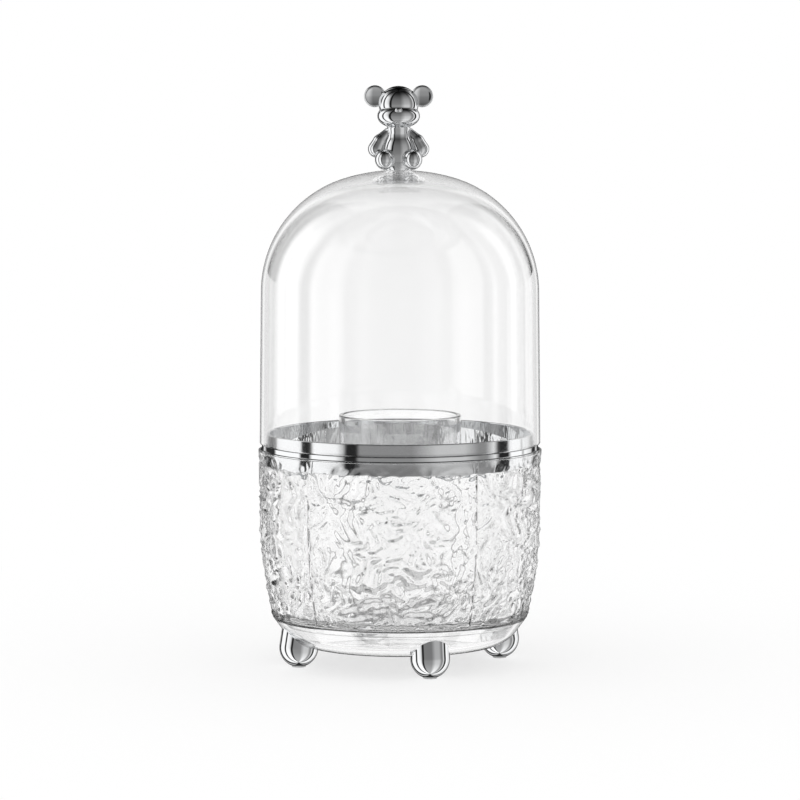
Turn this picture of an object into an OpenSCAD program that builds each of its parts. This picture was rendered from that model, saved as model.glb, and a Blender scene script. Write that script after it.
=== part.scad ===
// Clear domed canister on four plated feet, with a lift-out inner cup and a bear knob on its lid.
// Z is the canister's axis and the table lies at Z 0. The front faces -Y. Millimetres and degrees.

/* [Feet] */
// Radius of a foot's barrel and of its round end
foot_r = 8.4; // [7:0.1:9.5]
// Distance from the dish's rim in to the middle of a foot's flat
foot_inset = 10.1; // [8.4:0.1:13]
// Lean of a foot, its lower end outwards
foot_splay = 9; // [4:1:12]
// Turn of the front foot away from straight front
foot_turn = 16.3; // [0:0.1:45]
// Radius of the flat under a foot's round end
foot_flat_r = 3.15; // [2.5:0.05:4.5]
// Radius of the peg that holds a foot in the dish
foot_peg_r = 2; // [1.4:0.1:3]
// Glue gap round a foot's peg and over its top
foot_glue_gap = 0.05; // [0.03:0.01:0.1]
// Length of a foot's peg inside the dish's hollow
foot_peg_end = 0.8; // [0.4:0.1:1.5]
// Radius of a foot's pad
pad_r = 3; // [2:0.1:3.1]
// Thickness of a foot's pad
pad_t = 0.6; // [0.4:0.1:1.2]

/* [Dish under the cup] */
// Height of the dish's flat bottom above the table
dish_bottom_z = 8.6; // [8:0.1:10]
// Height of the dish from its flat bottom to its rim
dish_h = 12.6; // [11.5:0.1:14]
// Slope of the dish's side, from level
dish_slope = 54.3; // [50:0.1:60]
// Radius of the round edge between the dish's side and bottom
dish_edge_r = 13.2; // [11:0.1:15]
// Wall of the dish
dish_wall = 2.4; // [1.8:0.1:3]

/* [Outer cup] */
// Radius of the cup's upright upper part
cup_r = 61; // [60:0.1:64]
// Height of the cup from the dish's rim to its own rim
cup_h = 71.4; // [60:0.1:85]
// Height of the cup's upright upper part
cup_upright_h = 26.6; // [18:0.1:35]
// Distance that the cup draws in below that, down to the dish
barrel_in = 5.6; // [3:0.1:7]
// Wall of the cup
cup_wall = 2.8; // [2.2:0.1:3.4]
// Thickness of the cup's floor
cup_floor_t = 2.6; // [2:0.1:3.5]
// Height of the shadow groove between cup and dish
groove_h = 0.8; // [0.5:0.1:1.2]
// Depth of the shadow groove
groove_depth = 1.1; // [0.6:0.1:1.5]
// Depth of the rib under the floor that centres the cup in the dish
spigot_h = 2.2; // [1.5:0.1:3]
// Wall of that rib
spigot_wall = 2.2; // [1.5:0.1:3]
// Room between that rib and the dish
spigot_gap = 0.2; // [0.1:0.05:0.4]
// Height of the ring on the floor that keeps the inner cup in the middle
locator_h = 3; // [2:0.1:5]
// Wall of that ring
locator_wall = 1.4; // [1:0.1:2]

/* [Plated ring] */
// Room between the ring's skirt and the cup's inside
skirt_gap = 0.1; // [0.05:0.05:0.2]
// Depth of the ring's skirt inside the cup
skirt_h = 5.2; // [4:0.1:8]
// Wall of the skirt
skirt_wall = 1.9; // [1.6:0.1:2.4]
// Height of the lip that lies on the cup's rim
lip_h = 2.9; // [2:0.1:4]
// Distance that the lip stays back from the cup's outside
lip_inset = 1; // [0.5:0.1:1.5]
// Height of the collar that the dome goes over
collar_h = 5; // [3.5:0.1:8]
// Wall of the collar
collar_wall = 1.2; // [1:0.1:1.5]

/* [Dome] */
// Room between the dome's inside and the collar
dome_gap = 0.5; // [0.3:0.05:0.8]
// Wall of the dome at its side
dome_wall = 2.5; // [2:0.1:3]
// Thickness of the dome at its crown
crown_t = 3; // [2.8:0.1:4]
// Height of the dome's straight side
dome_side_h = 65.1; // [50:0.1:80]
// Draft of the straight side
dome_draft = 0.62; // [0.3:0.01:1]
// Height of the round top above the straight side
dome_rise = 52.25; // [48:0.05:56]
// Radius of the flatter curve over the crown
crown_r = 82; // [76:0.5:90]

/* [Inner cup] */
// Outer radius of the inner cup
inner_r = 26.3; // [22:0.1:32]
// Height of the inner cup
inner_h = 84; // [70:0.1:90]
// Wall of the inner cup
inner_wall = 1.8; // [1.4:0.1:2.4]
// Thickness of the inner cup's floor
inner_floor_t = 2; // [1.5:0.1:3]
// Room between the inner cup and the ring on the floor
inner_gap = 0.4; // [0.3:0.05:0.8]

/* [Bear knob] */
// Distance of the bear from the dome's axis, towards the left
bear_left = 0.6; // [0:0.1:1.5]
// Radius of the head
head_r = 7.7; // [7:0.1:8.5]
// Height of the head's middle above the crown
head_z = 27.8; // [27:0.1:29]
// Distance of the head's middle in front of the bear's axis
head_front = 0.6; // [0:0.1:1.5]
// Radius across the cheeks
cheek_r = 8.6; // [8:0.1:9.5]
// Height of the cheeks, from the chin up
cheek_h = 9.2; // [8:0.1:10]
// Height of the cheeks' middle above the crown
cheek_z = 22.6; // [22:0.1:23.5]
// Distance of the cheeks' middle in front of the bear's axis
cheek_front = 2.2; // [1:0.1:3]
// Radius of the nose
nose_r = 1.1; // [0.8:0.1:1.5]
// Distance of the nose above the cheeks' middle
nose_up = 3; // [2:0.1:3.5]
// Radius of an ear
ear_r = 4.2; // [3.5:0.1:4.8]
// Thickness of an ear
ear_t = 4.8; // [3.5:0.1:6]
// Distance of an ear's middle from the bear's axis
ear_x = 10; // [9.5:0.1:10.5]
// Height of an ear's middle above the crown
ear_z = 31.95; // [31:0.05:33]
// Radius of the neck
neck_r = 4.4; // [3.8:0.1:5]
// Radius of the body at the shoulders
chest_r = 4.7; // [4.2:0.1:5.2]
// Height of the shoulders above the crown
chest_z = 14.2; // [13.5:0.1:15]
// Radius of the body at the seat
belly_r = 6.4; // [6:0.1:7]
// Height of the belly's middle above the crown
belly_z = 6.2; // [5.8:0.1:7]
// Radius of an arm at the shoulder
arm_r = 2.6; // [2.2:0.1:3]
// Distance of the arm's shoulder end from the bear's axis
shoulder_x = 4.6; // [4:0.1:5]
// Radius of a hand
hand_r = 3.1; // [2.6:0.1:3.5]
// Distance of a hand from the bear's axis
hand_x = 9.1; // [8.5:0.1:9.5]
// Height of a hand above the crown
hand_z = 8.4; // [8:0.1:9]
// Radius of a leg
leg_r = 4.1; // [3.6:0.1:4.4]
// Distance of a leg from the bear's axis
leg_x = 5.8; // [5.4:0.1:6.2]
// Distance of the soles in front of the bear's axis
sole_front = 11; // [10:0.1:12]
// Radius of the rounded edge of a sole
sole_edge_r = 1.4; // [0.8:0.1:1.8]
// Radius of the peg that holds the bear in the crown
knob_peg_r = 2.5; // [2:0.1:3]
// Depth of the peg in the crown
knob_peg_h = 1.8; // [1.5:0.1:2]
// Glue gap round the peg and under the bear
knob_glue_gap = 0.05; // [0.03:0.01:0.1]

/* [Hidden] */
$fn = 96;

// A length that runs well past whatever it cuts
past = 200;
// An overlap between two shapes of one solid, as a length and as an angle
sunk = 0.5;
lap = 5;
// Flats that stand for the dish's round edge where the feet are coped to it
coping_flats = 6;

// Dish: it meets the cup's lower edge, and its side runs down at dish_slope and rolls into the flat bottom
dish_rim_r = cup_r - barrel_in;
dish_rim_z = dish_bottom_z + dish_h;
dish_edge_z = dish_bottom_z + dish_edge_r;
dish_tangent_z = dish_edge_z - dish_edge_r * cos(dish_slope);
dish_tangent_r = dish_rim_r - (dish_rim_z - dish_tangent_z) / tan(dish_slope);
dish_edge_x = dish_tangent_r - dish_edge_r * sin(dish_slope);

// Feet: the ball's height puts its flat on top of the pad, and the peg goes through the dish's wall
foot_circle_r = dish_rim_r - foot_inset;
ball_z = pad_t + sqrt(foot_r * foot_r - foot_flat_r * foot_flat_r);
dish_over_foot_z = dish_edge_z - sqrt(dish_edge_r * dish_edge_r - pow(foot_circle_r - dish_edge_x, 2));
foot_peg_h = dish_over_foot_z + dish_wall + foot_peg_end - ball_z;

// Outer cup
cup_rim_z = dish_rim_z + cup_h;
cup_floor_z = dish_rim_z + cup_floor_t;
cup_upright_z = cup_rim_z - cup_upright_h;
cup_in_r = cup_r - cup_wall;
barrel_h = cup_upright_z - dish_rim_z;
barrel_r = (barrel_h * barrel_h + barrel_in * barrel_in) / (2 * barrel_in);
spigot_z = dish_rim_z - spigot_h;
spigot_r = dish_rim_r - spigot_h / tan(dish_slope) - dish_wall / sin(dish_slope) - spigot_gap;
locator_r = inner_r + inner_gap;

// Plated ring
skirt_r = cup_in_r - skirt_gap;
ring_bore_r = skirt_r - skirt_wall;
collar_r = ring_bore_r + collar_wall;
lip_r = cup_r - lip_inset;
lip_z = cup_rim_z + lip_h;

// Dome
dome_in_r = collar_r + dome_gap;
dome_rim_r = dome_in_r + dome_wall;
dome_spring_z = lip_z + dome_side_h;
dome_narrowing = dome_side_h * tan(dome_draft);
crown_z = dome_spring_z + dome_rise;

// Bear: its front faces -Y
sole_z = leg_r;

function hypotenuse(a, b) = sqrt(a * a + b * b);

// A slice of a disc between two angles less than 180 apart
module slice(r, from, to) {
    middle = (from + to) / 2;
    intersection() {
        circle(r = r);
        polygon([[0, 0], for (a = [from, middle, to]) past * [cos(a), sin(a)]]);
    }
}

// Half of the outline of the dish, moved outwards by grow
module dish_half(grow) {
    rim_r = dish_rim_r + grow / sin(dish_slope);
    edge_r = dish_edge_r + grow;
    tangent = [dish_edge_x + edge_r * sin(dish_slope), dish_edge_z - edge_r * cos(dish_slope)];
    polygon([[0, dish_edge_z - edge_r], [dish_edge_x, dish_edge_z - edge_r],
             tangent, [rim_r, dish_rim_z], [0, dish_rim_z]]);
    intersection() {
        translate([dish_edge_x, dish_edge_z]) slice(edge_r, -90, dish_slope - 90);
        square([rim_r, dish_rim_z]);
    }
}

// Places a child where a foot stands, that many degrees around from the front foot, with +X outwards
module at_foot(around) {
    rotate([0, 0, foot_turn - 90 + around]) translate([foot_circle_r, 0, 0]) children();
}

// A cylinder along a foot's leaning axis, from the ball's middle upwards
module along_foot(around, r, h) {
    at_foot(around) translate([0, 0, ball_z]) rotate([0, -foot_splay, 0]) cylinder(r = r, h = h);
}

// A foot's barrel with its round end, as long as it could need to be
module barrel(around) {
    at_foot(around) translate([0, 0, ball_z]) rotate([0, -foot_splay, 0]) rotate_extrude() {
        slice(foot_r, -90, 0);
        square([foot_r, dish_rim_z]);
    }
}

// The dish and all the space above it, with the glue round it. Flats stand just outside the dish's
// round edge, so that a foot's coped top never reaches into the dish.
module above_feet() {
    edge_r = (dish_edge_r + foot_glue_gap) / cos(dish_slope / coping_flats / 2);
    edge = [for (i = [0 : coping_flats - 1]) let (a = dish_slope * (i + 0.5) / coping_flats)
            [dish_edge_x + edge_r * sin(a), dish_edge_z - edge_r * cos(a)]];
    rim_r = dish_rim_r + foot_glue_gap / sin(dish_slope);
    rotate_extrude() polygon(concat(
        [[0, dish_bottom_z - foot_glue_gap]], edge,
        [[rim_r, dish_rim_z], [past, dish_rim_z], [past, past], [0, past]]));
}

module foot(around) {
    color("silver") {
        difference() {
            barrel(around);
            above_feet();
            at_foot(around) translate([-foot_r * 2, -foot_r * 2, pad_t - past])
                cube([foot_r * 4, foot_r * 4, past]);
        }
        along_foot(around, foot_peg_r, foot_peg_h);
    }
}

module foot_pad(around) {
    color("gainsboro") at_foot(around) cylinder(r = pad_r, h = pad_t);
}

module foot_front() { foot(0); }

module foot_right() { foot(90); }

module foot_back() { foot(180); }

module foot_left() { foot(270); }

module foot_pad_front() { foot_pad(0); }

module foot_pad_right() { foot_pad(90); }

module foot_pad_back() { foot_pad(180); }

module foot_pad_left() { foot_pad(270); }

module base_dish() {
    color("aliceblue") difference() {
        rotate_extrude() dish_half(0);
        rotate_extrude() dish_half(-dish_wall);
        for (around = [0 : 90 : 270]) along_foot(around, foot_peg_r + foot_glue_gap, dish_rim_z);
    }
}

// Half of the cup's outside, or of its inside where inwards is the wall
module cup_half(inwards, bottom_z, top_z) {
    intersection() {
        union() {
            translate([cup_r - barrel_r, cup_upright_z]) circle(r = barrel_r - inwards, $fn = 360);
            translate([0, cup_upright_z]) square([cup_r - inwards, past]);
        }
        translate([0, bottom_z]) square([cup_r, top_z - bottom_z]);
    }
}

module ripple_cup() {
    color("lightcyan") rotate_extrude() {
        difference() {
            cup_half(0, dish_rim_z, cup_rim_z);
            cup_half(cup_wall, cup_floor_z, cup_rim_z + sunk);
            translate([dish_rim_r - groove_depth, dish_rim_z - sunk]) square([past, groove_h + sunk]);
        }
        translate([spigot_r - spigot_wall, spigot_z]) square([spigot_wall, spigot_h + sunk]);
        translate([locator_r, cup_floor_z - sunk]) square([locator_wall, locator_h + sunk]);
    }
}

module collar_ring() {
    color("silver") rotate_extrude() {
        translate([ring_bore_r, cup_rim_z - skirt_h]) square([skirt_wall, skirt_h + sunk]);
        translate([ring_bore_r, cup_rim_z]) square([lip_r - ring_bore_r, lip_h]);
        translate([ring_bore_r, lip_z - sunk]) square([collar_wall, collar_h + sunk]);
    }
}

module inner_cup() {
    color("lightcyan") translate([0, 0, cup_floor_z]) difference() {
        cylinder(r = inner_r, h = inner_h);
        translate([0, 0, inner_floor_t]) cylinder(r = inner_r - inner_wall, h = inner_h);
    }
}

// Half of a dome: a drafted side, a round shoulder and a flatter crown, tangent to each other
module dome_half(rim_r, rise) {
    spring_r = rim_r - dome_narrowing;
    shoulder_r = (2 * crown_r * rise - rise * rise - spring_r * spring_r) / (2 * (crown_r - spring_r));
    shoulder_x = spring_r - shoulder_r;
    crown_middle_z = rise - crown_r;
    turn = atan2(-crown_middle_z, shoulder_x);
    polygon([[0, lip_z], [rim_r, lip_z], [spring_r, dome_spring_z], [0, dome_spring_z + rise / 2]]);
    translate([shoulder_x, dome_spring_z]) slice(shoulder_r, -lap, min(turn + lap, 90));
    intersection() {
        translate([0, dome_spring_z + crown_middle_z]) slice(crown_r, turn, 90);
        translate([0, dome_spring_z - sunk]) square([past, past]);
    }
}

module dome_cover() {
    color("lightcyan") difference() {
        rotate_extrude() dome_half(dome_rim_r, dome_rise);
        rotate_extrude() dome_half(dome_in_r, dome_rise - crown_t);
        translate([-bear_left, 0, crown_z - knob_peg_h - knob_glue_gap])
            cylinder(r = knob_peg_r + knob_glue_gap, h = past);
    }
}

// A disc with a fully rounded rim, lying level
module pebble(r, h) {
    rotate_extrude() {
        translate([0, -h / 2]) square([r - h / 2, h]);
        intersection() {
            translate([r - h / 2, 0]) circle(r = h / 2);
            translate([0, -h / 2]) square([r, h]);
        }
    }
}

// A tapering bar with ball ends, from the origin along +Z
module limb(from_r, to_r, length) {
    lean = asin((from_r - to_r) / length);
    sphere(r = from_r);
    translate([0, 0, length]) sphere(r = to_r);
    translate([0, 0, from_r * sin(lean)])
        cylinder(r1 = from_r * cos(lean), r2 = to_r * cos(lean), h = length + (to_r - from_r) * sin(lean));
}

// A leg lying level towards the front, with a rounded edge round its sole
module leg() {
    translate([leg_x, 0, sole_z]) rotate([90, 0, 0]) rotate_extrude() {
        square([leg_r, sole_front - sole_edge_r]);
        square([leg_r - sole_edge_r, sole_front]);
        intersection() {
            translate([leg_r - sole_edge_r, sole_front - sole_edge_r]) circle(r = sole_edge_r);
            square([leg_r, sole_front]);
        }
    }
}

module arm() {
    drop = chest_z - hand_z;
    out = hand_x - shoulder_x;
    translate([shoulder_x, 0, chest_z]) rotate([0, 180 - atan2(out, drop), 0])
        limb(arm_r, hand_r, hypotenuse(out, drop));
}

module ear() {
    translate([ear_x, 0, ear_z]) rotate([90, 0, 0]) pebble(ear_r, ear_t);
}

module bear() {
    translate([0, -head_front, head_z]) sphere(r = head_r);
    translate([0, -cheek_front, cheek_z]) pebble(cheek_r, cheek_h);
    translate([0, -cheek_front - cheek_r, cheek_z + nose_up]) sphere(r = nose_r);
    translate([0, 0, chest_z]) cylinder(r = neck_r, h = cheek_z - chest_z);
    translate([0, 0, belly_z]) limb(belly_r, chest_r, chest_z - belly_z);
    for (side = [0, 1]) mirror([side, 0, 0]) {
        ear();
        arm();
        leg();
    }
}

module bear_knob() {
    color("silver") {
        difference() {
            translate([-bear_left, 0, crown_z]) bear();
            translate([0, 0, knob_glue_gap]) rotate_extrude() dome_half(dome_rim_r, dome_rise);
        }
        translate([-bear_left, 0, crown_z - knob_peg_h]) cylinder(r = knob_peg_r, h = knob_peg_h + belly_z);
    }
}

base_dish();
ripple_cup();
collar_ring();
foot_front();
foot_right();
foot_back();
foot_left();
foot_pad_front();
foot_pad_right();
foot_pad_back();
foot_pad_left();
inner_cup();
dome_cover();
bear_knob();
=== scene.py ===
"""A clear domed canister on four plated feet, with a plated ring, a lift-out inner cup and a plated bear knob.

Lengths in the tables are millimetres in the part's own frame; MM turns them into metres. The front faces -Y.
"""
import math

import bmesh
import bpy
import numpy as np
from mathutils import Matrix, Vector


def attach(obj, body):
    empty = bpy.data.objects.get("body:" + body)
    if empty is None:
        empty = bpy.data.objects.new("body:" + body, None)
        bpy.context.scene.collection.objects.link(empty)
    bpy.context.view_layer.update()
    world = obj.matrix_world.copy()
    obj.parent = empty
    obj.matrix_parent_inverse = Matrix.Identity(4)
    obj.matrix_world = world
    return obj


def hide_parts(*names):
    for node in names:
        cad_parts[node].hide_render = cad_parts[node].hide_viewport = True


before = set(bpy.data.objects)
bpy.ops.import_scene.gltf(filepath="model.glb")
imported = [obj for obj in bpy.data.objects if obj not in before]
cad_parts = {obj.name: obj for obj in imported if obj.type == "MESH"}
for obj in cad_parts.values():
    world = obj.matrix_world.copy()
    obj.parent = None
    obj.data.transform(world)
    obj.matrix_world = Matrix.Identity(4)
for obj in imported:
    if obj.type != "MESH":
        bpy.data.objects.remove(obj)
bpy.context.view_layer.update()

MM = 0.001
TURN = 2 * math.pi

# ---------------------------------------------------------------- sizes of the part, as its solids have them
DISH_BOTTOM_Z, DISH_RIM_Z = 8.6, 21.2
DISH_RIM_R, DISH_SLOPE, DISH_EDGE_R, DISH_WALL = 55.4, math.radians(54.3), 13.2, 2.4
CUP_R, CUP_IN_R, CUP_RIM_Z, CUP_UPRIGHT_Z, CUP_FLOOR_Z = 61.0, 58.2, 92.6, 66.0, 23.8
CUP_WALL = CUP_R - CUP_IN_R
GROOVE_H, GROOVE_DEPTH = 0.8, 1.1
SPIGOT_R, SPIGOT_WALL, SPIGOT_Z = 50.66, 2.2, 19.0
LOCATOR_R, LOCATOR_WALL, LOCATOR_H = 26.7, 1.4, 3.0
RING_BORE_R, SKIRT_R, SKIRT_Z = 56.2, 58.1, 87.4
LIP_R, LIP_Z, COLLAR_R, COLLAR_Z = 60.0, 95.5, 57.4, 100.5
DOME_RIM_R, DOME_IN_R, DOME_SPRING_Z, DOME_NARROWING = 60.4, 57.9, 160.6, 0.7
DOME_RISE, CROWN_T, CROWN_R = 52.25, 3.0, 82.0
CROWN_Z = DOME_SPRING_Z + DOME_RISE
INNER_R, INNER_WALL, INNER_FLOOR, INNER_H = 26.3, 1.8, 2.0, 84.0
BEAR_LEFT, PEG_R, PEG_H, GLUE = 0.6, 2.5, 1.8, 0.05
FOOT_R, FOOT_CIRCLE_R, FOOT_SPLAY, FOOT_TURN = 8.4, 45.3, math.radians(9), math.radians(16.3)
FOOT_FLAT_R, FOOT_PEG_R, FOOT_PEG_OVER = 3.15, 2.0, 0.8
PAD_R, PAD_T = 3.0, 0.6
FEET = 4


# ---------------------------------------------------------------- small helpers
def linear(hex_colour):
    """An sRGB hex colour as linear RGBA."""
    parts = [int(hex_colour[i:i + 2], 16) / 255 for i in (1, 3, 5)]
    return [c / 12.92 if c <= 0.04045 else ((c + 0.055) / 1.055) ** 2.4 for c in parts] + [1.0]


def add(tree, kind, inputs=None, **settings):
    """Adds a node with its settings; an input is a value or the output that feeds it."""
    node = tree.nodes.new(kind)
    for name, value in settings.items():
        setattr(node, name, value)
    for socket, value in (inputs or {}).items():
        if isinstance(value, bpy.types.NodeSocket):
            tree.links.new(value, node.inputs[socket])
        else:
            node.inputs[socket].default_value = value
    return node


def set_stops(ramp, stops):
    """Gives a colour ramp grey stops, as pairs of place and value."""
    elements = ramp.color_ramp.elements
    while len(elements) < len(stops):
        elements.new(1.0)
    for element, (place, value) in zip(elements, stops):
        element.position = place
        element.color = (value, value, value, 1)


def make_object(name, mesh, material):
    piece = bpy.data.objects.new(name, mesh)
    bpy.context.scene.collection.objects.link(piece)
    mesh.materials.clear()
    mesh.materials.append(material)
    return piece


def shell(name, points, faces, sharp_over=40, merge=0.002):
    """A closed smooth mesh from points in millimetres; points nearer than merge become one and normals
    face outwards."""
    mesh = bpy.data.meshes.new(name)
    mesh.from_pydata([tuple(p) for p in np.asarray(points) * MM], [], faces)
    work = bmesh.new()
    work.from_mesh(mesh)
    bmesh.ops.remove_doubles(work, verts=work.verts, dist=merge * MM)
    bmesh.ops.dissolve_degenerate(work, dist=merge * MM / 4, edges=work.edges)
    bmesh.ops.recalc_face_normals(work, faces=work.faces)
    work.to_mesh(mesh)
    work.free()
    mesh.shade_smooth()
    mesh.set_sharp_from_angle(angle=math.radians(sharp_over))
    return mesh


# ---------------------------------------------------------------- outlines of turned pieces
def arc(centre, radius, start, end, steps):
    """Points on a circle in the outline's plane, angles in degrees from +R towards +Z."""
    angles = np.radians(np.linspace(start, end, steps + 1))
    return [(centre[0] + radius * math.cos(a), centre[1] + radius * math.sin(a)) for a in angles]


def rounded(corners, steps=6):
    """An outline whose corners with a third number are rounded to that radius. Points that hold the
    flats go just beside each rounding, so that smooth shading keeps the flats flat."""
    out = []
    count = len(corners)
    for i, (r, z, *radius) in enumerate(corners):
        here = Vector((r, z))
        if not radius:
            out.append((r, z))
            continue
        back = (Vector(corners[i - 1][:2]) - here).normalized()
        on = (Vector(corners[(i + 1) % count][:2]) - here).normalized()
        half = back.angle(on) / 2
        reach = radius[0] / math.tan(half)
        centre = here + (back + on).normalized() * (radius[0] / math.sin(half))
        hold = radius[0] * 0.6
        start, end = (here + back * reach - centre).normalized(), (here + on * reach - centre).normalized()
        out.append(tuple(here + back * (reach + hold)))
        for k in range(steps + 1):
            out.append(tuple(centre + start.slerp(end, k / steps) * radius[0]))
        out.append(tuple(here + on * (reach + hold)))
    return out


def turned(outline, angles, relief=None):
    """Points and faces of a closed outline turned round Z to the angles, which start at 0 and end at the
    sweep. relief(angles, outline) gives the radius of every point, one row for each angle."""
    segments = len(angles) - 1
    columns = segments if angles[-1] >= TURN - 1e-9 else segments + 1
    angles = angles[:columns]
    rz = np.array(outline, float)
    radii = np.tile(rz[:, 0], (columns, 1)) if relief is None else relief(angles, rz)
    points = np.stack([radii * np.cos(angles)[:, None], radii * np.sin(angles)[:, None],
                       np.tile(rz[:, 1], (columns, 1))], -1).reshape(-1, 3)
    rows = len(rz)
    faces = []
    for c in range(segments):
        this, following = c * rows, ((c + 1) % columns) * rows
        for i in range(rows):
            j = (i + 1) % rows
            if rz[i, 0] < 1e-6 and rz[j, 0] < 1e-6:
                continue
            faces.append((this + i, following + i, following + j, this + j))
    return points, faces


SEGMENTS = 256


def lathe(name, outline, material, segments=SEGMENTS):
    return make_object(name, shell(name, *turned(outline, np.linspace(0, TURN, segments + 1))), material)


# ---------------------------------------------------------------- materials
# Width in millimetres of what the patterns show: uneven polish, swells and haze of the plating, and grain
POLISH_W, SWELL_W, HAZE_W, GRAIN_W = 6, 4, 1.5, 0.4
STYRENE_IOR, STYRENE_ABSORPTION = 1.59, 12


def new_material(name):
    material = bpy.data.materials.new(name)
    material.use_nodes = True
    tree = material.node_tree
    tree.nodes.clear()
    output = add(tree, "ShaderNodeOutputMaterial")
    return material, tree, output


def clear_styrene(name, wave_w, wave_depth):
    """Crystal polystyrene, injection moulded: glass-clear and glossy, with faint waves of the given width
    and depth from the melt's flow or the mould, and a little grey where one looks along a wall."""
    material, tree, output = new_material(name)
    place = add(tree, "ShaderNodeTexCoord").outputs["Object"]
    flow = add(tree, "ShaderNodeTexNoise", {"Vector": place, "Scale": 1 / (wave_w * MM), "Detail": 1.0,
                                            "Roughness": 0.4})
    bump = add(tree, "ShaderNodeBump", {"Height": flow.outputs["Fac"], "Strength": 1.0,
                                        "Distance": wave_depth * MM})
    polish = add(tree, "ShaderNodeTexNoise", {"Vector": place, "Scale": 1 / (POLISH_W * MM), "Detail": 2.0})
    gloss = add(tree, "ShaderNodeMapRange", {"Value": polish.outputs["Fac"], "To Min": 0.0, "To Max": 0.02})
    shader = add(tree, "ShaderNodeBsdfPrincipled", {
        "Base Color": linear("#ffffff"), "Roughness": gloss.outputs["Result"], "IOR": STYRENE_IOR,
        "Transmission Weight": 1.0, "Normal": bump.outputs["Normal"]})
    depth = add(tree, "ShaderNodeVolumeAbsorption", {"Color": linear("#bcbcbc"),
                                                     "Density": STYRENE_ABSORPTION})
    tree.links.new(shader.outputs["BSDF"], output.inputs["Surface"])
    tree.links.new(depth.outputs["Volume"], output.inputs["Volume"])
    return material


def chrome_plating(name):
    """Bright chrome on moulded ABS: a mirror with a faint long unevenness from the plastic under it."""
    material, tree, output = new_material(name)
    place = add(tree, "ShaderNodeTexCoord").outputs["Object"]
    swell = add(tree, "ShaderNodeTexNoise", {"Vector": place, "Scale": 1 / (SWELL_W * MM), "Detail": 1.0})
    bump = add(tree, "ShaderNodeBump", {"Height": swell.outputs["Fac"], "Strength": 1.0,
                                        "Distance": 0.004 * MM})
    haze = add(tree, "ShaderNodeTexNoise", {"Vector": place, "Scale": 1 / (HAZE_W * MM), "Detail": 3.0})
    gloss = add(tree, "ShaderNodeMapRange", {"Value": haze.outputs["Fac"], "To Min": 0.0, "To Max": 0.012})
    shader = add(tree, "ShaderNodeBsdfPrincipled", {
        "Base Color": linear("#f2f3f4"), "Metallic": 1.0, "Roughness": gloss.outputs["Result"],
        "Normal": bump.outputs["Normal"]})
    tree.links.new(shader.outputs["BSDF"], output.inputs["Surface"])
    return material


def pad_vinyl(name):
    """Soft moulded vinyl: matt and a little grainy."""
    material, tree, output = new_material(name)
    place = add(tree, "ShaderNodeTexCoord").outputs["Object"]
    grain = add(tree, "ShaderNodeTexNoise", {"Vector": place, "Scale": 1 / (GRAIN_W * MM), "Detail": 3.0})
    tone = add(tree, "ShaderNodeValToRGB", {"Fac": grain.outputs["Fac"]})
    set_stops(tone, [(0.3, 0.39), (0.7, 0.56)])
    bump = add(tree, "ShaderNodeBump", {"Height": grain.outputs["Fac"], "Distance": 0.02 * MM})
    shader = add(tree, "ShaderNodeBsdfPrincipled", {"Base Color": tone.outputs["Color"], "Roughness": 0.6,
                                                    "Normal": bump.outputs["Normal"]})
    tree.links.new(shader.outputs["BSDF"], output.inputs["Surface"])
    return material


CLEAR = clear_styrene("crystal polystyrene, moulded and polished", wave_w=26, wave_depth=0.01)
CLEAR_RIPPLED = clear_styrene("crystal polystyrene, moulded in a rippled mould", wave_w=3, wave_depth=0.02)
CHROME = chrome_plating("bright chrome plating on moulded ABS")
VINYL = pad_vinyl("soft vinyl, moulded")


# ---------------------------------------------------------------- copies round the axis, by Geometry Nodes
def round_tree():
    """Copies of the object's own mesh round the canister's axis, joined where they meet."""
    tree = bpy.data.node_groups.new("copies round the axis", "GeometryNodeTree")
    face = tree.interface
    face.new_socket("Geometry", in_out="INPUT", socket_type="NodeSocketGeometry")
    face.new_socket("Copies", in_out="INPUT", socket_type="NodeSocketInt")
    face.new_socket("First copy's angle", in_out="INPUT", socket_type="NodeSocketFloat")
    face.new_socket("Merge distance", in_out="INPUT", socket_type="NodeSocketFloat")
    face.new_socket("Material", in_out="INPUT", socket_type="NodeSocketMaterial")
    face.new_socket("Geometry", in_out="OUTPUT", socket_type="NodeSocketGeometry")
    given = add(tree, "NodeGroupInput").outputs
    places = add(tree, "GeometryNodePoints", {"Count": given["Copies"]})
    index = add(tree, "GeometryNodeInputIndex").outputs["Index"]
    step = add(tree, "ShaderNodeMath", {0: TURN, 1: given["Copies"]}, operation="DIVIDE")
    angle = add(tree, "ShaderNodeMath", {0: index, 1: step.outputs[0], 2: given["First copy's angle"]},
                operation="MULTIPLY_ADD")
    turn = add(tree, "ShaderNodeCombineXYZ", {"Z": angle.outputs[0]})
    spread = add(tree, "GeometryNodeInstanceOnPoints", {
        "Points": places.outputs[0], "Instance": given["Geometry"], "Rotation": turn.outputs[0]})
    real = add(tree, "GeometryNodeRealizeInstances", {"Geometry": spread.outputs[0]})
    joined = add(tree, "GeometryNodeMergeByDistance", {"Geometry": real.outputs[0],
                                                       "Distance": given["Merge distance"]})
    coated = add(tree, "GeometryNodeSetMaterial", {"Geometry": joined.outputs[0],
                                                   "Material": given["Material"]})
    add(tree, "NodeGroupOutput", {"Geometry": coated.outputs[0]})
    return tree


ROUND_TREE = round_tree()


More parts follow.
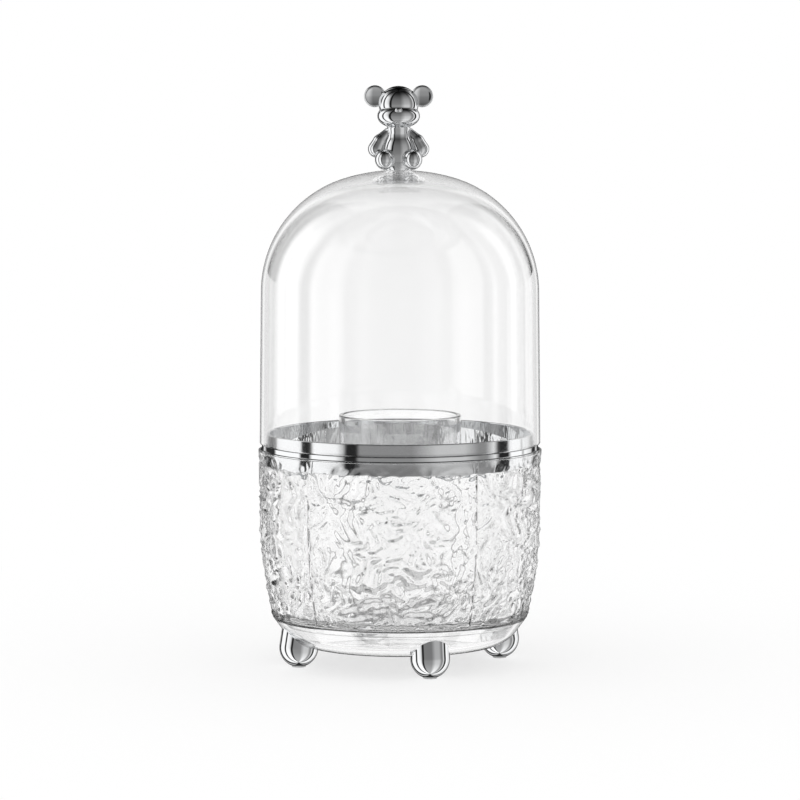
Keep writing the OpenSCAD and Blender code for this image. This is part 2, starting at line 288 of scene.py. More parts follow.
def copies_round(name, mesh, copies, first_angle, material):
    """A plain mesh piece with that many copies of mesh round the axis."""
    source = make_object(name + "_one", mesh, material)
    modifier = source.modifiers.new("round", "NODES")
    modifier.node_group = ROUND_TREE
    wanted = {"Copies": copies, "First copy's angle": first_angle, "Merge distance": 0.002 * MM,
              "Material": material}
    for item in ROUND_TREE.interface.items_tree:
        if item.in_out == "INPUT" and item.name in wanted:
            modifier[item.identifier] = wanted[item.name]
    view = bpy.context.evaluated_depsgraph_get()
    result = bpy.data.meshes.new_from_object(source.evaluated_get(view))
    result.name = name + "_mesh"
    source.modifiers.remove(modifier)
    bpy.data.objects.remove(source)
    return make_object(name, result, material)


# ---------------------------------------------------------------- dome cover
DOME_STEPS, SIDE_STEPS = 40, 14
# Radii of the rim's edge and of the socket's edge and floor, and free crown left round the socket
DOME_EDGE_R, SOCKET_EDGE_R, SOCKET_FLOOR_R, SOCKET_FREE = 0.5, 0.2, 0.15, 1.5
# The crown's top face moves with the socket within the first radius, and not at all beyond the second
SHIFT_FULL_R, SHIFT_NONE_R = 6, 16


def dome_curve(rim_r, rise, steps):
    """Half of a dome's curve from its rim up to the axis: a drafted side, a shoulder and a flatter crown."""
    spring_r = rim_r - DOME_NARROWING
    shoulder_r = (2 * CROWN_R * rise - rise * rise - spring_r ** 2) / (2 * (CROWN_R - spring_r))
    shoulder_x = spring_r - shoulder_r
    crown_middle = DOME_SPRING_Z + rise - CROWN_R
    turn = math.degrees(math.atan2(DOME_SPRING_Z - crown_middle, shoulder_x))
    side = [(rim_r + (spring_r - rim_r) * t, LIP_Z + (DOME_SPRING_Z - LIP_Z) * t)
            for t in np.linspace(0, 1, SIDE_STEPS)[:-1]]
    shoulder = arc((shoulder_x, DOME_SPRING_Z), shoulder_r, 0, turn, steps)
    crown = arc((0, crown_middle), CROWN_R, turn, 90, steps // 2)
    return side + shoulder + crown[1:]


def dome_mesh():
    """The lid, with the blind socket for the bear's peg moved to the bear's place."""
    outer = dome_curve(DOME_RIM_R, DOME_RISE, DOME_STEPS)
    inner = dome_curve(DOME_IN_R, DOME_RISE - CROWN_T, DOME_STEPS)
    outer[0], inner[0] = (outer[0][0], LIP_Z, DOME_EDGE_R), (inner[0][0], LIP_Z, DOME_EDGE_R)
    socket_r, socket_z = PEG_R + GLUE, CROWN_Z - PEG_H - GLUE
    sunk = 0.04  # the round crown is that much lower at the socket's edge than at the axis
    crown = [p for p in outer if p[0] > socket_r + SOCKET_FREE]
    outline = rounded(crown + [(socket_r, CROWN_Z - sunk, SOCKET_EDGE_R), (socket_r, socket_z, SOCKET_FLOOR_R),
                               (0, socket_z)] + inner[::-1])
    points, faces = turned(outline, np.linspace(0, TURN, SEGMENTS + 1))
    far = np.hypot(points[:, 0], points[:, 1])
    upper = points[:, 2] > CROWN_Z - CROWN_T + 0.1  # the top face and the socket, not the inside
    near = np.clip((SHIFT_NONE_R - far) / (SHIFT_NONE_R - SHIFT_FULL_R), 0, 1) * upper
    points[:, 0] -= BEAR_LEFT * near * near * (3 - 2 * near)
    return shell("dome_cover", points, faces)


# ---------------------------------------------------------------- rippled cup
# The mould's lines divide the cup into equal panels; the first starts at this angle from +X
PANELS, PANEL_TURN = 5, math.radians(32.2) - math.pi / 2
PANEL_COLUMNS, RELIEF_ROWS = 108, 100
# Millimetres: depth of the relief, half a mould line's width, and the heights over which the relief
# fades at the cup's foot and rim; share of the depth at which a mould line lies
RELIEF_DEPTH, SEAM_HALF, BASE_FADE, RIM_FADE, SEAM_DEPTH = 1.25, 0.45, 1.2, 6.0, 0.15
EDGE_R, FLOOR_EDGE_R = 0.3, 1.2
# Rows of points on the inner face, and how far under the rim and over the floor they start and end
INSIDE_ROWS, UNDER_RIM, OVER_FLOOR = 10, 1, 3


def random_waves(seed, across, up, wave_u, wave_v, count=28):
    """A smooth random field, about -2 to 2, whose waves are wave_u wide and wave_v high."""
    draw = np.random.default_rng(seed)
    heading = draw.uniform(0, TURN, count)
    length = draw.uniform(0.7, 1.35, count)
    phase = draw.uniform(0, TURN, count)
    field = np.zeros(np.broadcast(across, up).shape)
    for h, k, p in zip(heading, length, phase):
        field += np.cos(TURN * k * (np.cos(h) * across / wave_u + np.sin(h) * up / wave_v) + p)
    return field * math.sqrt(2 / count)


def ripple_depth(across, up):
    """How far the rippled face lies back from its crests, 0 to 1: puffed fields between narrow curved
    valleys, and smaller waves on them. The last two numbers of each field are its waves' millimetres."""
    warp_u = 2.4 * random_waves(11, across, up, 24, 18)
    warp_v = 1.6 * random_waves(12, across, up, 24, 18)
    folds = random_waves(13, across + warp_u, up + warp_v, 21, 13)
    puffs = np.clip(np.sqrt(folds ** 2 + 0.01) / 1.5, 0, 1)
    small = random_waves(14, across + warp_u, up + warp_v, 8, 5.5)
    where_fine = np.clip(0.35 + random_waves(16, across, up, 17, 12), 0, 1)
    fine = random_waves(15, across, up, 4.2, 2.8) * where_fine
    return np.clip(0.95 - 0.6 * puffs - 0.2 * small - 0.15 * fine, 0, 1.1) / 1.1


def cup_radius(z):
    """The cup's outer radius at a height: upright above, drawn in below."""
    drawn = CUP_R - DISH_RIM_R
    barrel_h = CUP_UPRIGHT_Z - DISH_RIM_Z
    barrel_r = (barrel_h ** 2 + drawn ** 2) / (2 * drawn)
    below = np.clip(CUP_UPRIGHT_Z - z, 0, None)
    return CUP_R - barrel_r + np.sqrt(barrel_r ** 2 - below ** 2)


def cup_relief(angles, outline):
    """Radii of the cup's outline at each angle of one panel: only the outer face is rippled."""
    r, z = outline[None, :, 0], outline[None, :, 1]
    outer = (r > cup_radius(z) - 0.01) & (z > DISH_RIM_Z + GROOVE_H - 0.01)
    across = angles[:, None] * CUP_R
    from_end = (np.clip((CUP_RIM_Z - z) / RIM_FADE, 0, 1) ** 1.5
                * np.clip((z - DISH_RIM_Z - GROOVE_H) / BASE_FADE, 0, 1))
    panel = TURN / PANELS * CUP_R
    from_seam = np.clip(np.minimum(across, panel - across) / SEAM_HALF, 0, 1)
    depth = ripple_depth(across, z) * from_seam + SEAM_DEPTH * (1 - from_seam)
    return r - outer * from_end * RELIEF_DEPTH * depth


def cup_outline():
    """The cup's section: the wall up and down, the floor with the locating ring, the rib and the groove."""
    wall = [(float(cup_radius(z)), z) for z in
            np.linspace(DISH_RIM_Z + GROOVE_H, CUP_RIM_Z, RELIEF_ROWS)]
    groove_r = DISH_RIM_R - GROOVE_DEPTH
    inside = [(float(cup_radius(z)) - CUP_WALL, z) for z in
              np.linspace(CUP_RIM_Z - UNDER_RIM, CUP_FLOOR_Z + OVER_FLOOR, INSIDE_ROWS)]
    floor_r = float(cup_radius(CUP_FLOOR_Z)) - CUP_WALL
    locator = [(LOCATOR_R + LOCATOR_WALL, CUP_FLOOR_Z), (LOCATOR_R + LOCATOR_WALL, CUP_FLOOR_Z + LOCATOR_H),
               (LOCATOR_R, CUP_FLOOR_Z + LOCATOR_H), (LOCATOR_R, CUP_FLOOR_Z)]
    spigot = [(SPIGOT_R - SPIGOT_WALL, DISH_RIM_Z), (SPIGOT_R - SPIGOT_WALL, SPIGOT_Z),
              (SPIGOT_R, SPIGOT_Z), (SPIGOT_R, DISH_RIM_Z)]
    return rounded(wall + [(CUP_IN_R, CUP_RIM_Z, EDGE_R)] + inside + [(floor_r, CUP_FLOOR_Z, FLOOR_EDGE_R)]
                   + [(r, z, EDGE_R) for r, z in locator] + [(0, CUP_FLOOR_Z), (0, DISH_RIM_Z)]
                   + [(r, z, EDGE_R) for r, z in spigot]
                   + [(groove_r, DISH_RIM_Z), (groove_r, DISH_RIM_Z + GROOVE_H)], steps=3)


def ripple_cup():
    """The cup from equal panels of one rippled mesh, which meet at the mould's lines."""
    panel = TURN / PANELS
    seam = np.array([0.22, 0.46]) / CUP_R  # more columns of points beside each mould line
    angles = np.sort(np.concatenate([np.linspace(0, panel, PANEL_COLUMNS + 1), seam, panel - seam]))
    points, faces = turned(cup_outline(), angles, cup_relief)
    mesh = bpy.data.meshes.new("cup_panel")
    mesh.from_pydata([tuple(p) for p in points * MM], [], faces)
    mesh.shade_smooth()
    cup = copies_round("ripple_cup_clear", mesh, PANELS, PANEL_TURN, CLEAR_RIPPLED)
    work = bmesh.new()
    work.from_mesh(cup.data)
    bmesh.ops.dissolve_degenerate(work, dist=0.0005 * MM, edges=work.edges)
    bmesh.ops.recalc_face_normals(work, faces=work.faces)
    work.to_mesh(cup.data)
    work.free()
    cup.data.shade_smooth()
    cup.data.set_sharp_from_angle(angle=math.radians(50))
    return cup


# ---------------------------------------------------------------- dish, ring and inner cup
DISH_EDGE_Z = DISH_BOTTOM_Z + DISH_EDGE_R
DISH_TANGENT_Z = DISH_EDGE_Z - DISH_EDGE_R * math.cos(DISH_SLOPE)
DISH_EDGE_X = (DISH_RIM_R - (DISH_RIM_Z - DISH_TANGENT_Z) / math.tan(DISH_SLOPE)
               - DISH_EDGE_R * math.sin(DISH_SLOPE))
# Radius of a point that holds the flat bottom, points along the edge's bend, and rounding of the rim
DISH_FLAT_R, DISH_EDGE_STEPS, DISH_RIM_EDGE_R = 20, 14, 0.35


def dish_curve(inwards):
    """The dish's curve from the axis out to its rim, moved inwards by that much."""
    slope = math.degrees(DISH_SLOPE)
    edge = arc((DISH_EDGE_X, DISH_EDGE_Z), DISH_EDGE_R - inwards, -90, slope - 90, DISH_EDGE_STEPS)
    return [(0, DISH_BOTTOM_Z + inwards), (DISH_FLAT_R, DISH_BOTTOM_Z + inwards)] + edge + [
        (DISH_RIM_R - inwards / math.sin(DISH_SLOPE), DISH_RIM_Z, DISH_RIM_EDGE_R)]


def ring_outline():
    """Skirt in the cup, a lip with a narrow step at its foot, and the collar that the dome goes over."""
    face_r = LIP_R - 0.5
    return rounded([(RING_BORE_R, SKIRT_Z, 0.3), (SKIRT_R, SKIRT_Z, 0.3), (SKIRT_R, CUP_RIM_Z),
                    (LIP_R, CUP_RIM_Z, 0.1), (LIP_R, CUP_RIM_Z + 0.45, 0.12),
                    (face_r, CUP_RIM_Z + 0.75, 0.3), (face_r, LIP_Z, 0.5), (COLLAR_R, LIP_Z, 0.25),
                    (COLLAR_R, COLLAR_Z, 0.45), (RING_BORE_R, COLLAR_Z, 0.45)])


def inner_cup_outline():
    top, foot = CUP_FLOOR_Z + INNER_H, CUP_FLOOR_Z
    bore = INNER_R - INNER_WALL
    return rounded([(0, foot), (INNER_R, foot, 1.2), (INNER_R, top, 0.45), (bore, top, 0.45),
                    (bore, foot + INNER_FLOOR, 1.5), (0, foot + INNER_FLOOR)])


# ---------------------------------------------------------------- feet
# Rows of points on a foot: on its ball, up its barrel (share of the way), and inwards over its cope
# (share of the barrel's radius); and how far a row lies inside the edge of the flat
BALL_ROWS, FLAT_INSET = 25, 0.25
BARREL_ROWS, COPE_ROWS = (0.25, 0.5, 0.75, 0.92, 1), (0.985, 0.9, 0.75, 0.6, 0.45, 0.32)
# The longest way from the ball's middle up to the dish, and how often it is halved
LONGEST_WAY, HALVINGS = 16.0, 40
PAD_SEGMENTS = 48


def under_dish(r):
    """Height of the dish's outside at a radius, with the glue under it."""
    edge_r = DISH_EDGE_R + GLUE
    tangent_x = DISH_EDGE_X + edge_r * math.sin(DISH_SLOPE)
    tangent_z = DISH_EDGE_Z - edge_r * math.cos(DISH_SLOPE)
    on_edge = DISH_EDGE_Z - np.sqrt(np.clip(edge_r ** 2 - np.clip(r - DISH_EDGE_X, 0, edge_r) ** 2, 0, None))
    return np.where(r > tangent_x, tangent_z + (r - tangent_x) * math.tan(DISH_SLOPE), on_edge)


def foot_mesh(segments=96):
    """A plated foot: a ball end with a flat, a leaning barrel coped to the dish, and its peg."""
    ball = Vector((FOOT_CIRCLE_R, 0, PAD_T + math.sqrt(FOOT_R ** 2 - FOOT_FLAT_R ** 2)))
    lean = Matrix.Rotation(-FOOT_SPLAY, 3, "Y")
    axis = lean @ Vector((0, 0, 1))
    around = [Vector((math.cos(a), math.sin(a), 0)) for a in np.linspace(0, TURN, segments + 1)[:-1]]
    drop = ball.z - PAD_T

    def coped(offset):
        """Where a line along the foot's axis meets the dish, by halving."""
        low, high = 0.0, LONGEST_WAY
        for _ in range(HALVINGS):
            t = (low + high) / 2
            p = ball + offset + axis * t
            low, high = (t, high) if p.z < under_dish(math.hypot(p.x, p.y)) else (low, t)
        return ball + offset + axis * low

    under = Vector((ball.x, 0, PAD_T))
    rows = [[under] * segments, [under + d * (FOOT_FLAT_R - FLAT_INSET) for d in around]]
    for t in np.linspace(0, 1, BALL_ROWS):
        row = []
        for d in around:
            low_end = Vector((d.x * FOOT_FLAT_R, d.y * FOOT_FLAT_R, -drop)).normalized()
            high_end = (lean @ d).normalized()
            row.append(ball + low_end.slerp(high_end, t) * FOOT_R)
        rows.append(row)
    widest, top = rows[-1], [coped(lean @ d * FOOT_R) for d in around]
    for t in BARREL_ROWS:
        rows.append([low.lerp(high, t) for low, high in zip(widest, top)])
    for share in COPE_ROWS:
        rows.append([coped(lean @ d * FOOT_R * share) for d in around])
    rows.append([coped(lean @ d * FOOT_PEG_R) for d in around])
    dish_z = DISH_EDGE_Z - math.sqrt(DISH_EDGE_R ** 2 - (FOOT_CIRCLE_R - DISH_EDGE_X) ** 2)
    peg_top = dish_z + DISH_WALL + FOOT_PEG_OVER - ball.z
    rows.append([ball + axis * peg_top + lean @ d * FOOT_PEG_R for d in around])
    rows.append([ball + axis * peg_top] * segments)
    points = [tuple(p) for row in rows for p in row]
    faces = [(i * segments + k, i * segments + (k + 1) % segments,
              (i + 1) * segments + (k + 1) % segments, (i + 1) * segments + k)
             for i in range(len(rows) - 1) for k in range(segments)]
    return shell("foot", points, faces, sharp_over=30)


def pad_mesh():
    outline = rounded([(0, 0), (PAD_R, 0, 0.15), (PAD_R, PAD_T, 0.05), (0, PAD_T)], steps=3)
    points, faces = turned(outline, np.linspace(0, TURN, PAD_SEGMENTS + 1))
    return shell("foot_pad", points + np.array([FOOT_CIRCLE_R, 0, 0]), faces)


# ---------------------------------------------------------------- bear knob, as one skin over joined forms
# Middles and radii of the bear's forms, millimetres above the crown, its axis at x 0, its face towards -Y
HEAD, HEAD_RADII = (0, -0.4, 28.0), (8.5, 7.2, 7.9)
CHEEKS, CHEEK_RADII, CHEEK_FULLNESS = (0, -1.8, 23.1), (9.1, 7.6, 5.2), 2.1
NOSE, NOSE_RADII = (0, -8.9, 25.9), (1.5, 1.0, 0.9)
# An ear is an upright disc with a flat front, rounded behind by one ball and hollowed in front by another
EAR_X, EAR_Z, EAR_R, EAR_FRONT_Y = 10.1, 31.5, 4.65, -2.0
EAR_BACK_Y, EAR_BACK_R, EAR_HOLLOW_Y, EAR_HOLLOW_R = -8.0, 10.0, -10.64, 9.5
NECK_FOOT, NECK_TOP, NECK_FOOT_R, NECK_TOP_R = (0, 0, 13), (0, -0.3, 18.5), 4.4, 5.0
BODY, BODY_RADII = (0, 0, 6.6), (7.5, 7.0, 10.6)
SHOULDER, ELBOW, HAND = (4.8, 0, 16.0), (7.8, 0, 12.2), (9.4, -0.3, 9.0)
SHOULDER_R, ELBOW_R, HAND_R = 1.9, 3.2, 3.7
HIP, SHIN, HIP_R, SHIN_R = (5.6, 0, 4.8), (6.0, -6.2, 4.7), 3.8, 3.95
SOLE, SOLE_RADII = (6.0, -6.6, 4.7), (3.95, 4.5, 4.45)
# The grid of the skin: its low and high corner and its step. Another step or corner can pinch the skin
BEAR_LOW, BEAR_HIGH, BEAR_STEP, QUICK_STEP = (-14.94, -13.05, -3), (15, 8, 37.5), 0.265, 0.5
# How often the skin's points are drawn onto the form, over what distance its slope is measured, and the
# least squared slope that they trust
DRAWS, SLOPE_OVER, LEAST_SLOPE = 5, 0.01, 0.25


def ball(p, centre, radius):
    return np.linalg.norm(p - np.array(centre), axis=-1) - radius


def egg(p, centre, radii, fullness=2):
    """Distance to an ellipsoid, near its surface. Fullness over 2 makes its sides more upright."""
    q = (p - np.array(centre)) / np.array(radii)
    out, up = np.hypot(q[..., 0], q[..., 1]) + 1e-9, np.abs(q[..., 2])
    size = (out ** fullness + up ** fullness) ** (1 / fullness)
    slope_out = (out / size) ** (fullness - 1) * np.hypot(q[..., 0] / radii[0], q[..., 1] / radii[1]) / out
    slope_up = (up / size) ** (fullness - 1) / radii[2]
    return (size - 1) / np.hypot(slope_out, slope_up)


def limb(p, start, end, start_r, end_r):
    """Distance to a bar with ball ends that changes its radius evenly."""
    start, run = np.array(start), np.array(end) - np.array(start)
    t = np.clip((p - start) @ run / (run @ run), 0, 1)
    return np.linalg.norm(p - start - t[..., None] * run, axis=-1) - (start_r + t * (end_r - start_r))


def join(a, b, fillet):
    """The union of two forms with a fillet of about that size between them."""
    h = np.clip(0.5 + 0.5 * (b - a) / fillet, 0, 1)
    return b + (a - b) * h - fillet * h * (1 - h)


def carve(a, b, fillet):
    return -join(-a, b, fillet)


def bear_distance(p):
    """Distance to the bear, millimetres above the crown."""
    side = p * np.array([-1.0, 1, 1])
    side[..., 0] = -np.abs(p[..., 0])
    mirrored = side * np.array([-1.0, 1, 1])
    face = join(egg(p, CHEEKS, CHEEK_RADII, CHEEK_FULLNESS), egg(p, HEAD, HEAD_RADII), 0.4)
    face = join(face, egg(p, NOSE, NOSE_RADII), 0.3)
    squeezed = mirrored * np.array([1, 0.1, 1])
    ear = carve(ball(squeezed, (EAR_X, 0, EAR_Z), EAR_R), mirrored[..., 1] - EAR_FRONT_Y, 1.0)
    ear = carve(ear, -ball(mirrored, (EAR_X, EAR_BACK_Y, EAR_Z), EAR_BACK_R), 0.5)
    ear = carve(ear, ball(mirrored, (EAR_X, EAR_HOLLOW_Y, EAR_Z), EAR_HOLLOW_R), 0.15) - 0.02
    face = join(face, ear, 0.2)
    neck = limb(p, NECK_FOOT, NECK_TOP, NECK_FOOT_R, NECK_TOP_R)
    body = join(egg(p, BODY, BODY_RADII), neck, 1.0)
    arm = join(limb(mirrored, SHOULDER, ELBOW, SHOULDER_R, ELBOW_R),
               limb(mirrored, ELBOW, HAND, ELBOW_R, HAND_R), 0.3)
    body = join(body, arm, 0.3)
    leg = join(limb(mirrored, HIP, SHIN, HIP_R, SHIN_R), egg(mirrored, SOLE, SOLE_RADII), 0.6)
    body = join(body, leg, 0.35)
    whole = join(face, body, 0.4)
    whole = carve(whole, ball(p, (BEAR_LEFT, 0, -CROWN_R), CROWN_R + GLUE), 0.1)
    peg = np.maximum(np.hypot(p[..., 0], p[..., 1]) - PEG_R, np.abs(p[..., 2] - 1) - PEG_H - 1)
    return np.minimum(whole, peg)


def skin(distance, low, high, step):
    """Points and quads of the surface where distance is zero: one point in each cell that the surface
    crosses, drawn onto it, and one quad across each grid edge that it crosses."""
    axes = [np.arange(a, b + step, step) for a, b in zip(low, high)]
    grid = np.stack(np.meshgrid(*axes, indexing="ij"), -1)
    value = distance(grid)
    inside = value < 0
    cells = tuple(n - 1 for n in value.shape)
    total, count = np.zeros(cells + (3,)), np.zeros(cells, int)
    rings = []
    for axis in range(3):
        lower = tuple(slice(None, -1) if i == axis else slice(None) for i in range(3))
        upper = tuple(slice(1, None) if i == axis else slice(None) for i in range(3))
        crossed = inside[lower] != inside[upper]
        edges = np.argwhere(crossed)
        a, b = value[lower][crossed], value[upper][crossed]
        place = grid[lower][crossed]
        place[:, axis] += a / (a - b) * step
        one, other = [i for i in range(3) if i != axis]
        ring = []
        for back_one, back_other in ((0, 0), (1, 0), (1, 1), (0, 1)):
            cell = edges.copy()
            cell[:, one] -= back_one
            cell[:, other] -= back_other
            np.add.at(total, tuple(cell.T), place)
            np.add.at(count, tuple(cell.T), 1)
            ring.append(cell)
        rings.append(ring)
    used = count > 0
    number = np.full(cells, -1)
    number[used] = np.arange(used.sum())
    points = total[used] / count[used][:, None]
    for _ in range(DRAWS):
        here = distance(points)
        slope = np.stack([(distance(points + shift) - distance(points - shift)) / (2 * SLOPE_OVER)
                          for shift in np.eye(3) * SLOPE_OVER], -1)
        move = here[:, None] * slope / np.maximum((slope ** 2).sum(-1), LEAST_SLOPE)[:, None]
        points = points - np.clip(move, -step / 2, step / 2)
    faces = [quad for ring in rings for quad in np.stack([number[tuple(c.T)] for c in ring], -1).tolist()]
    return points, faces


def bear_mesh():
    points, faces = skin(bear_distance, BEAR_LOW, BEAR_HIGH, BEAR_STEP)
    points = points + np.array([-BEAR_LEFT, 0, CROWN_Z])
    return shell("bear_knob", points, faces, sharp_over=70, merge=0.0)


# ---------------------------------------------------------------- the pieces on their bodies
def place(piece, body, slot, *nodes):
    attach(piece, body)
    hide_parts(*nodes)


dish = lathe("base_dish_clear", rounded(dish_curve(0) + dish_curve(DISH_WALL)[::-1]), CLEAR)
place(dish, "base", "clear_styrene", "base_dish")

cup = ripple_cup()
place(cup, "base", "rippled_styrene", "ripple_cup")

ring = lathe("collar_ring_plated", ring_outline(), CHROME, segments=320)
place(ring, "base", "chrome_plating", "collar_ring")

feet = copies_round("feet_plated", foot_mesh(), FEET, FOOT_TURN - math.pi / 2, CHROME)
place(feet, "base", "chrome_plating", "foot_front", "foot_right", "foot_back", "foot_left")

pads = copies_round("foot_pads_soft", pad_mesh(), FEET, FOOT_TURN - math.pi / 2, VINYL)
place(pads, "base", "pad_vinyl", "foot_pad_front", "foot_pad_right", "foot_pad_back", "foot_pad_left")

inner = lathe("inner_cup_clear", inner_cup_outline(), CLEAR, segments=192)
place(inner, "cup", "clear_styrene", "inner_cup")

dome = make_object("dome_cover_clear", dome_mesh(), CLEAR)
place(dome, "lid", "clear_styrene", "dome_cover")

bear = make_object("bear_knob_plated", bear_mesh(), CHROME)
place(bear, "lid", "chrome_plating", "bear_knob")


# ---------------------------------------------------------------- floor, light, background and camera
# The floor's radius, where its fade to white starts and ends, and its share of plain white at the middle
FLOOR_R, FADE_FROM, FADE_TO, FADE_START = 0.45, 0.12, 0.36, 0.7


def make_floor():
    """A round white floor that keeps the soft shadow near the object and fades to plain white."""
    material, tree, output = new_material("white studio floor")
    place_on = add(tree, "ShaderNodeTexCoord").outputs["Object"]
    far = add(tree, "ShaderNodeVectorMath", {0: place_on}, operation="LENGTH")
    fade = add(tree, "ShaderNodeMapRange", {"Value": far.outputs["Value"], "From Min": FADE_FROM,
                                            "From Max": FADE_TO, "To Min": FADE_START},
               interpolation_type="SMOOTHSTEP")
    matt = add(tree, "ShaderNodeBsdfDiffuse", {"Color": linear("#fcfcfc")})
    white = add(tree, "ShaderNodeEmission", {"Color": linear("#ffffff"), "Strength": 1.0})
    mixed = add(tree, "ShaderNodeMixShader", {"Fac": fade.outputs["Result"], 1: matt.outputs[0],
                                              2: white.outputs[0]})
    tree.links.new(mixed.outputs[0], output.inputs["Surface"])
    work = bmesh.new()
    bmesh.ops.create_circle(work, cap_ends=True, segments=96, radius=FLOOR_R)
    mesh = bpy.data.meshes.new("floor")
    work.to_mesh(mesh)
    work.free()
    floor = make_object("floor", mesh, material)
    floor.visible_glossy = floor.visible_transmission = False


# What bright metal mirrors round the object, as azimuth in degrees (0 is the camera's side, plus is the
# picture's right) and brightness: grey room, white panels and black gaps between them
STUDIO = [(-180, 0.03), (-161, 0.03), (-155, 0.9), (-148, 0.03), (-129, 0.03), (-125, 1.1), (-93, 1.1),
          (-90, 0.02), (-81, 0.02), (-78, 1.1), (-55, 1.1), (-49, 0.6), (-46, 0.02), (-37, 0.02),
          (-34, 0.3), (10, 0.3), (32, 0.66), (56, 0.66), (70, 0.28), (77, 0.28), (86, 0.85), (91, 0.02),
          (102, 0.02), (106, 1.1), (121, 1.1), (124, 0.4), (127, 1.1), (140, 0.8), (144, 0.03),
          (152, 0.03), (157, 0.9), (162, 0.03)]
# Share of a grey card's brightness on the camera's side, by the sine of the height
FRONT_BY_HEIGHT = [(-1, 1.6), (-0.75, 1.3), (-0.4, 1.0), (-0.1, 0.92), (0.05, 0.72), (0.48, 0.5),
                   (0.73, 0.26), (0.87, 0.1), (0.96, 0.02)]
# Share of the studio's brightness left at the sides and behind, by the sine of the height
LEFT_BY_HEIGHT = [(-1, 1.0), (0.58, 1.0), (0.78, 0.15), (0.9, 0.02)]
# Share of FRONT_BY_HEIGHT in the mix of those two, by azimuth in degrees
FRONT_SECTOR = [(-75, 0), (-50, 1), (60, 1), (85, 0)]
# What clear plastic shows through itself, by the sine of the height: a little over white, because its
# walls take some of the light, and a little under white overhead
THROUGH_BY_HEIGHT = [(-1, 1.07), (0.3, 1.07), (1, 0.87)]
# Deep light has crossed more than this many faces of clear plastic, so more than two walls. Its share of
# white where it is mirrored as well, and its gain where it isn't, against what the walls take
DEEP_AFTER, DEEP_SHARE, DEEP_GAIN = 4.5, 0.15, 0.15
# For deep light alone: narrow black cards at eye height, every eighth of a turn, and a black band above
# them, by the sine of the height. The rippled wall bends them into its small dark marks
CARD_FROM, CARD_FULL, CARD_HEIGHT, CARD_LIGHT = math.radians(18), math.radians(19.5), 0.17, 0.02
BAND_MIDDLE, BAND_HALF = 0.5, 0.32
# Headings of light that leaves a wall away from the camera's side and so shows white: parts of a unit
# vector, for light guided by one wall (Y over, and Z below or X within) and for any wall (Y over)
ONWARDS_FROM_Y, ONWARDS_BELOW_Z, ONWARDS_HALF_X, STRAIGHT_FROM_Y = 0.2, 0.03, 0.4, 0.94
# White that matt surfaces see
MATT_LIGHT = 0.95


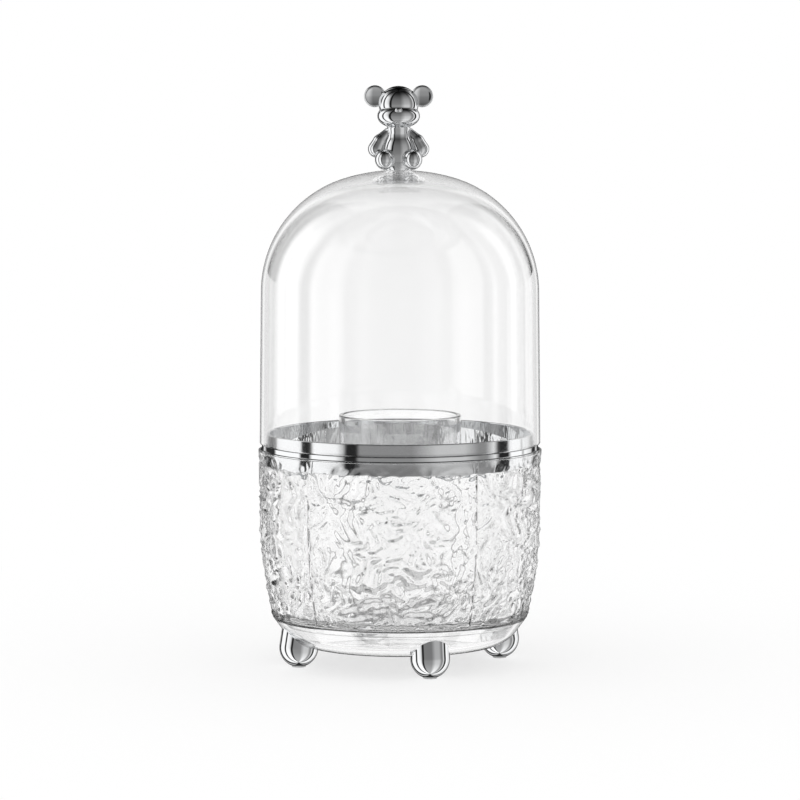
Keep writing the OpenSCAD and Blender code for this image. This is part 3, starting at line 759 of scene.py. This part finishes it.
def make_world():
    """A white room for the camera and for clear plastic, and a studio of cards for what metal mirrors."""
    world = bpy.data.worlds.new("studio")
    bpy.context.scene.world = world
    world.use_nodes = True
    world.cycles.sampling_method = "NONE"
    tree = world.node_tree
    tree.nodes.clear()

    def maths(operation, *values, **settings):
        return add(tree, "ShaderNodeMath", dict(enumerate(values)), operation=operation, **settings).outputs[0]

    def mix(share, first, second):
        return add(tree, "ShaderNodeMix", {0: share, 2: first, 3: second}, data_type="FLOAT").outputs[0]

    def remap(value, low, high, to_low=0.0, to_high=1.0):
        return add(tree, "ShaderNodeMapRange", {"Value": value, "From Min": low, "From Max": high,
                                                "To Min": to_low, "To Max": to_high}).outputs["Result"]

    def ramp(source, stops, low, high):
        node = add(tree, "ShaderNodeValToRGB", {"Fac": source})
        set_stops(node, [((at - low) / (high - low), value) for at, value in stops])
        return node.outputs["Color"]

    heading = add(tree, "ShaderNodeTexCoord").outputs["Generated"]
    x, y, z = add(tree, "ShaderNodeSeparateXYZ", {0: heading}).outputs
    azimuth = maths("ARCTAN2", x, maths("MULTIPLY", y, -1.0))
    around, height = remap(azimuth, -math.pi, math.pi), remap(z, -1.0, 1.0)
    path = add(tree, "ShaderNodeLightPath").outputs  # its depths are whole numbers, so limits end in a half
    crossed = path["Transmission Depth"]
    behind_wall = maths("GREATER_THAN", crossed, 0.5)
    deep = maths("GREATER_THAN", crossed, DEEP_AFTER)

    # The studio that metal mirrors
    by_height = mix(ramp(around, FRONT_SECTOR, -180, 180),
                    ramp(height, LEFT_BY_HEIGHT, -1, 1), ramp(height, FRONT_BY_HEIGHT, -1, 1))
    mirrored = maths("MULTIPLY", ramp(around, STUDIO, -180, 180), by_height)

    # The white room that light sees straight through clear plastic, with cards and a band for deep light
    through = ramp(height, THROUGH_BY_HEIGHT, -1, 1)
    beside_cards = remap(maths("PINGPONG", azimuth, math.pi / 8), CARD_FROM, CARD_FULL, 1.0, CARD_LIGHT)
    off_eye_height = maths("SUBTRACT", 1.0, maths("COMPARE", z, 0.0, CARD_HEIGHT))
    band = maths("COMPARE", z, BAND_MIDDLE, BAND_HALF)
    open_room = maths("SUBTRACT", maths("MAXIMUM", beside_cards, off_eye_height), band, use_clamp=True)
    direct = maths("MULTIPLY", through, mix(deep, 1.0, open_room))
    direct = maths("MULTIPLY", direct, maths("MULTIPLY_ADD", deep, DEEP_GAIN, 1.0))

    # Light that a single wall guides onwards sees the white room too, and deep light sees a share of it
    one_wall = maths("COMPARE", crossed, 2.0, 0.5)
    low_or_ahead = maths("MAXIMUM", maths("LESS_THAN", z, ONWARDS_BELOW_Z),
                         maths("COMPARE", x, 0.0, ONWARDS_HALF_X))
    onwards = maths("MULTIPLY", maths("GREATER_THAN", y, ONWARDS_FROM_Y), low_or_ahead)
    guided = maths("MULTIPLY_ADD", maths("GREATER_THAN", y, STRAIGHT_FROM_Y), behind_wall,
                   maths("MULTIPLY", one_wall, onwards))
    in_wall = maths("MULTIPLY_ADD", deep, DEEP_SHARE, guided, use_clamp=True)

    shown = mix(maths("GREATER_THAN", path["Glossy Depth"], 0.5), direct, mix(in_wall, mirrored, through))
    shown = mix(path["Is Camera Ray"], shown, 1.0)
    shown = mix(maths("GREATER_THAN", path["Diffuse Depth"], 0.5), shown, MATT_LIGHT)
    ground = add(tree, "ShaderNodeBackground", {"Color": shown, "Strength": 1.0})
    add(tree, "ShaderNodeOutputWorld", {"Surface": ground.outputs[0]})


LAMP_SIZE, LAMP_WATTS, LAMP_PLACE, LAMP_AIM = 0.9, 1.5, (-0.35, -0.25, 1.25), (0, 0, 0.1)


def make_lamp():
    """A soft box over the object's left front, for the soft shadow on the floor."""
    data = bpy.data.lights.new("soft box", "AREA")
    data.shape = "DISK"
    data.size = LAMP_SIZE
    data.energy = LAMP_WATTS
    lamp = bpy.data.objects.new("soft box", data)
    bpy.context.scene.collection.objects.link(lamp)
    lamp.location = LAMP_PLACE
    lamp.rotation_euler = (Vector(LAMP_AIM) - lamp.location).to_track_quat("-Z", "Y").to_euler()
    lamp.visible_glossy = False
    lamp.visible_transmission = False


# The camera that the ellipses of the photo's ring, rim and groove give
LENS, SENSOR, PITCH, DISTANCE, EYE_HEIGHT = 177.4, 36, math.radians(5.3), 1.69, 0.2707


def make_camera():
    data = bpy.data.cameras.new("camera")
    data.lens = LENS
    data.sensor_width = SENSOR
    camera = bpy.data.objects.new("camera", data)
    bpy.context.scene.collection.objects.link(camera)
    camera.location = (0, -DISTANCE, EYE_HEIGHT)
    camera.rotation_euler = (math.pi / 2 - PITCH, 0, 0)
    bpy.context.scene.camera = camera


make_floor()
make_world()
make_lamp()
make_camera()

scene = bpy.context.scene
scene.view_settings.view_transform = "Standard"
# Light crosses up to eight clear walls and is guided along them by many inner reflections
scene.cycles.max_bounces = 32
scene.cycles.transmission_bounces = 24
scene.cycles.glossy_bounces = 24
scene.cycles.transparent_max_bounces = 8
